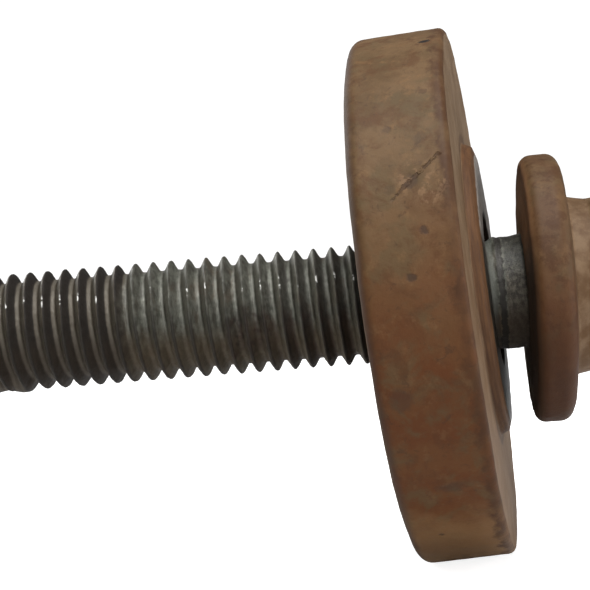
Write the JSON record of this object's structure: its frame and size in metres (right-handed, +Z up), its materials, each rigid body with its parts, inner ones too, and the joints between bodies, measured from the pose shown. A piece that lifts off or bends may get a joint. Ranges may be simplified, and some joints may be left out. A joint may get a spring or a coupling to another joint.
{
  "type": "hex flange bolt with washer",
  "caption": "Hex flange bolt with a coarse right-hand thread and a loose, heavy stepped washer whose low boss faces the head, in worn, rust-dusted steel.",
  "frame": {"origin": "on the bolt's axis, in the plane of the flange's bearing face, where the thread's grip starts", "axes": "+X along the bolt's axis from the thread's tip to the head, +Z up, square to a pair of the hexagon's flats"},
  "size_m": [0.0605, 0.0436, 0.0434],
  "materials": {
    "bolt_steel": "worn grey steel thread and shank with grime in the roots; the flange and head are dull brown with rust",
    "washer_steel": "dull brown rust-dusted steel with blotches and scratches, bare metal where the boss bears"
  },
  "bodies": {
    "bolt": {"hex_flange_bolt": "bolt_steel"},
    "washer": {"stepped_washer": "washer_steel"}
  },
  "joints": [
    {"name": "washer_slide", "type": "slide", "parent": "bolt", "child": "washer", "axis": [1, 0, 0], "range_m": [-0.037, 0.0014]}
  ]
}
